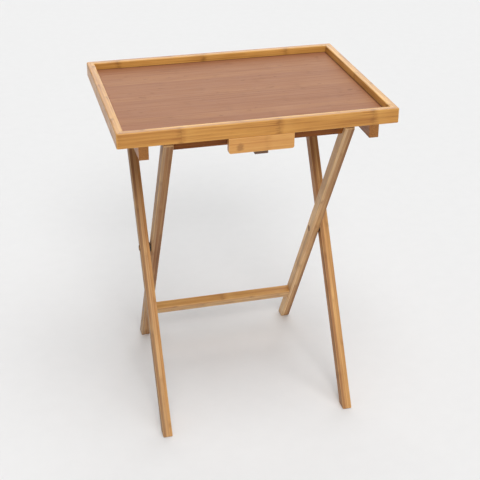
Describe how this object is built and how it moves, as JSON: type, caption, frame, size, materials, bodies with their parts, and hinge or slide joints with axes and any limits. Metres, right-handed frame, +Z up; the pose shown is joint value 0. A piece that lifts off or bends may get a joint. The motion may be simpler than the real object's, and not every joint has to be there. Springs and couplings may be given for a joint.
{
  "type": "folding tray table",
  "caption": "Bamboo folding tray table: a shallow rimmed tray on crossed leg frames that scissor shut about a pivot, with a turn-button catch under the front rail.",
  "frame": {"origin": "on the floor, in the middle of the overall width and depth", "axes": "+X to the right as seen from the front, +Y to the back, +Z up"},
  "size_m": [0.5, 0.3924, 0.63],
  "materials": {
    "bamboo_rail": "satin lacquered bamboo",
    "bamboo_panel": "satin stained bamboo board",
    "bamboo_catch": "satin lacquered bamboo",
    "bamboo_leg": "satin lacquered bamboo",
    "bamboo_bar": "satin lacquered bamboo",
    "dowel_wood": "plain turned wood",
    "zinc_steel": "dull zinc plating",
    "bronzed_steel": "dark bronzed plating",
    "black_nylon": "matt moulded"
  },
  "bodies": {
    "outer_legs": {"left_outer_leg": "bamboo_leg", "right_outer_leg": "bamboo_leg", "hinge_rod": "dowel_wood", "rod_pins": "zinc_steel", "hinge_spacers": "black_nylon", "left_pivot_bolt": "bronzed_steel", "right_pivot_bolt": "bronzed_steel", "pivot_spacers": "black_nylon", "pivot_sleeves": "bronzed_steel"},
    "inner_legs": {"left_inner_leg": "bamboo_leg", "right_inner_leg": "bamboo_leg", "front_crossbar": "bamboo_bar", "lower_stretcher": "bamboo_bar", "crossbar_screws": "zinc_steel", "stretcher_screws": "zinc_steel"},
    "tray": {"front_rail": "bamboo_rail", "back_rail": "bamboo_rail", "left_rail": "bamboo_rail", "right_rail": "bamboo_rail", "corner_dowels": "dowel_wood", "tray_panel": "bamboo_panel", "left_batten": "bamboo_bar", "right_batten": "bamboo_bar", "batten_screws": "zinc_steel", "catch_block": "bamboo_catch", "catch_screws": "zinc_steel", "button_washer": "zinc_steel", "button_screw": "zinc_steel"},
    "catch_button": {"catch_button": "bamboo_catch"}
  },
  "joints": [
    {"name": "leg_fold", "type": "hinge", "parent": "outer_legs", "child": "inner_legs", "pos_m": [0, -0.00163, 0.314], "axis": [-1, 0, 0], "range_deg": [0, 57]},
    {"name": "tray_level", "type": "hinge", "parent": "outer_legs", "child": "tray", "pos_m": [0, 0.16067, 0.5915], "axis": [-1, 0, 0], "range_deg": [0, 28.5]},
    {"name": "catch_turn", "type": "hinge", "parent": "tray", "child": "catch_button", "pos_m": [0, -0.17733, 0.5712], "axis": [0, 0, 1], "range_deg": [0, 90]}
  ],
  "couplings": [
    {"joint": "tray_level", "follows": "leg_fold", "ratio": 0.5}
  ]
}
